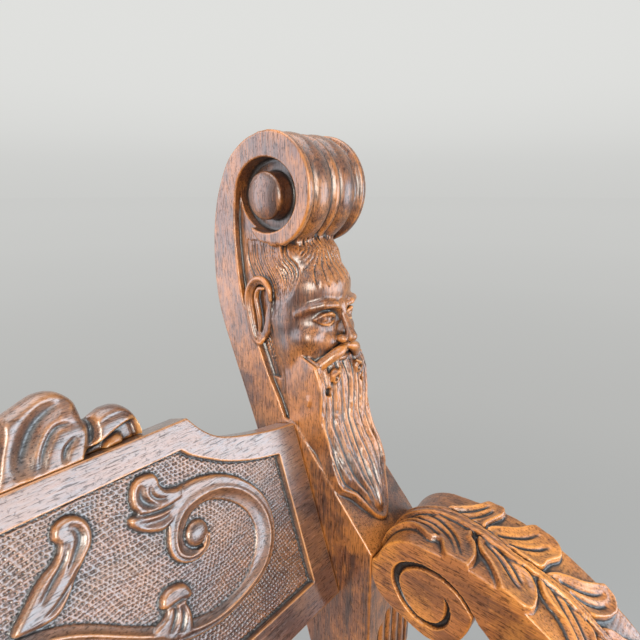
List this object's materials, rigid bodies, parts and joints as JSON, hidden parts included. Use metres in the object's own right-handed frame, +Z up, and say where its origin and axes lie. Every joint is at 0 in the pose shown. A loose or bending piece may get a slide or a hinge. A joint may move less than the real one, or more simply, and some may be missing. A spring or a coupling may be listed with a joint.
{
  "type": "savonarola chair",
  "caption": "Folding X-frame armchair of crossed S-curved slats, with scrolled arms, carved bearded posts, a carved swinging back panel and a hinged slatted seat.",
  "frame": {"origin": "on the floor, under the middle of the chair", "axes": "+Z up, +Y to the chair's back, +X to the sitter's left"},
  "size_m": [0.59, 0.5791, 0.951],
  "materials": {
    "walnut": "waxed walnut, worn edges",
    "carved_walnut": "waxed carved walnut, dark in the hollows",
    "iron": "dark wrought iron",
    "brass": "aged brass"
  },
  "bodies": {
    "left_frame": {"back_post_left": "carved_walnut", "slat_left_1": "walnut", "slat_left_2": "walnut", "slat_left_3": "walnut", "arm_left": "carved_walnut", "arm_dowel_left": "walnut", "arm_pegs_left": "walnut", "runner_right": "walnut", "runner_pegs_right": "walnut", "pivot_rod": "iron", "pivot_washers": "iron", "pivot_spacers": "walnut", "rosette_front": "walnut", "rosette_rear": "walnut", "seat_rod_left": "iron", "hinge_leaf_post_lower": "brass", "hinge_leaf_post_upper": "brass", "hinge_pin_lower": "brass", "hinge_pin_upper": "brass"},
    "right_frame": {"back_post_right": "carved_walnut", "slat_right_1": "walnut", "slat_right_2": "walnut", "slat_right_3": "walnut", "arm_right": "carved_walnut", "arm_dowel_right": "walnut", "arm_pegs_right": "walnut", "runner_left": "walnut", "runner_pegs_left": "walnut", "seat_rod_right": "iron"},
    "seat_left": {"seat_slat_left_1": "walnut", "seat_slat_left_2": "walnut", "seat_slat_left_3": "walnut", "seat_slat_left_4": "walnut", "seat_slat_left_5": "walnut", "seat_slat_left_6": "walnut", "seat_rod_centre": "iron"},
    "seat_right": {"seat_slat_right_1": "walnut", "seat_slat_right_2": "walnut", "seat_slat_right_3": "walnut", "seat_slat_right_4": "walnut", "seat_slat_right_5": "walnut", "seat_slat_right_6": "walnut"},
    "back": {"back_panel": "carved_walnut", "crest_carving": "carved_walnut", "hinge_leaf_panel_lower": "brass", "hinge_leaf_panel_upper": "brass"}
  },
  "joints": [
    {"name": "frame_fold", "type": "hinge", "parent": "left_frame", "child": "right_frame", "pos_m": [0, 0, 0.305], "axis": [0, 1, 0], "range_deg": [0, 39]},
    {"name": "seat_left_lift", "type": "hinge", "parent": "left_frame", "child": "seat_left", "pos_m": [0.22345, 0, 0.44], "axis": [0, 1, 0], "range_deg": [0, 63.18]},
    {"name": "seat_right_lift", "type": "hinge", "parent": "right_frame", "child": "seat_right", "pos_m": [-0.22345, 0, 0.44], "axis": [0, 1, 0], "range_deg": [-63.18, 0]},
    {"name": "panel_swing", "type": "hinge", "parent": "left_frame", "child": "back", "pos_m": [0.2305, 0.21227, 0.69219], "axis": [0, 0.3371, 0.9415], "range_deg": [-78, 0]}
  ],
  "couplings": [
    {"joint": "seat_left_lift", "follows": "frame_fold", "ratio": 1.62},
    {"joint": "seat_right_lift", "follows": "frame_fold", "ratio": -1.62},
    {"joint": "panel_swing", "follows": "frame_fold", "ratio": -2}
  ]
}
